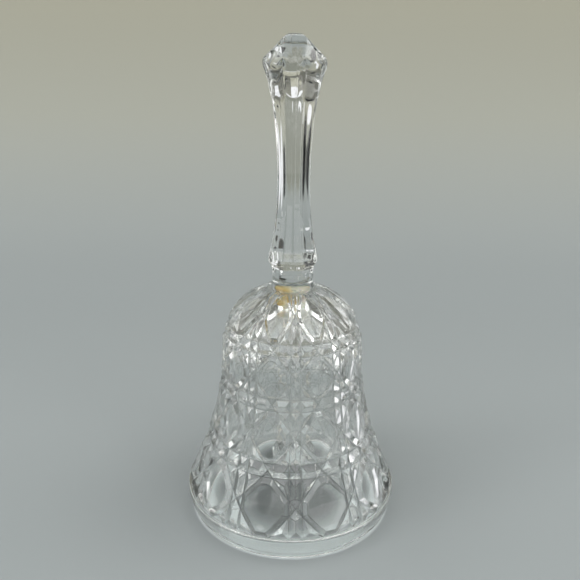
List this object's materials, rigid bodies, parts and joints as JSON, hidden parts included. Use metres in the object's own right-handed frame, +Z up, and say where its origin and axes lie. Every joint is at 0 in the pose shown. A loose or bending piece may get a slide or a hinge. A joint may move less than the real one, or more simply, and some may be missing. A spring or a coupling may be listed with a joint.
{
  "type": "glass hand bell",
  "caption": "Pressed clear-glass hand bell with a flared cup of cut octagonal buttons, a faceted handle and a glass clapper on a wire chain.",
  "frame": {"origin": "centre of the rim, on the surface that the bell stands on", "axes": "+Z up the handle along the bell's own axis; -Y faces the side that is seen first"},
  "size_m": [0.089, 0.089, 0.19],
  "materials": {
    "glass": "clear polished pressed crystal",
    "clapper_glass": "clear polished faceted crystal",
    "adhesive": "yellowed cream adhesive, slightly glossy",
    "wire": "plain drawn steel wire, nickel plated"
  },
  "bodies": {
    "bell": {"glass_bell": "glass", "adhesive_plug": "adhesive", "crown_eye": "wire"},
    "link_1": {"chain_link_1": "wire"},
    "link_2": {"chain_link_2": "wire"},
    "link_3": {"chain_link_3": "wire"},
    "link_4": {"chain_link_4": "wire"},
    "link_5": {"chain_link_5": "wire"},
    "link_6": {"chain_link_6": "wire"},
    "link_7": {"chain_link_7": "wire"},
    "link_8": {"chain_link_8": "wire"},
    "clapper": {"clapper_pin": "wire", "clapper_ball": "clapper_glass"}
  },
  "joints": [
    {"name": "link_1_swing", "type": "hinge", "parent": "bell", "child": "link_1", "pos_m": [0, 0, 0.0781], "axis": [0, 1, 0], "range_deg": [-12, 12]},
    {"name": "link_2_swing", "type": "hinge", "parent": "link_1", "child": "link_2", "pos_m": [0, 0, 0.0719], "axis": [1, 0, 0], "range_deg": [-12, 12]},
    {"name": "link_3_swing", "type": "hinge", "parent": "link_2", "child": "link_3", "pos_m": [0, 0, 0.0657], "axis": [0, 1, 0], "range_deg": [-4, 4]},
    {"name": "link_4_swing", "type": "hinge", "parent": "link_3", "child": "link_4", "pos_m": [0, 0, 0.0595], "axis": [1, 0, 0], "range_deg": [-4, 4]},
    {"name": "link_5_swing", "type": "hinge", "parent": "link_4", "child": "link_5", "pos_m": [0, 0, 0.0533], "axis": [0, 1, 0], "range_deg": [-4, 4]},
    {"name": "link_6_swing", "type": "hinge", "parent": "link_5", "child": "link_6", "pos_m": [0, 0, 0.0471], "axis": [1, 0, 0], "range_deg": [-4, 4]},
    {"name": "link_7_swing", "type": "hinge", "parent": "link_6", "child": "link_7", "pos_m": [0, 0, 0.0409], "axis": [0, 1, 0], "range_deg": [-4, 4]},
    {"name": "link_8_swing", "type": "hinge", "parent": "link_7", "child": "link_8", "pos_m": [0, 0, 0.0347], "axis": [1, 0, 0], "range_deg": [-4, 4]},
    {"name": "clapper_swing", "type": "hinge", "parent": "link_8", "child": "clapper", "pos_m": [0, 0, 0.0285], "axis": [0, 1, 0], "range_deg": [-4, 4]}
  ]
}
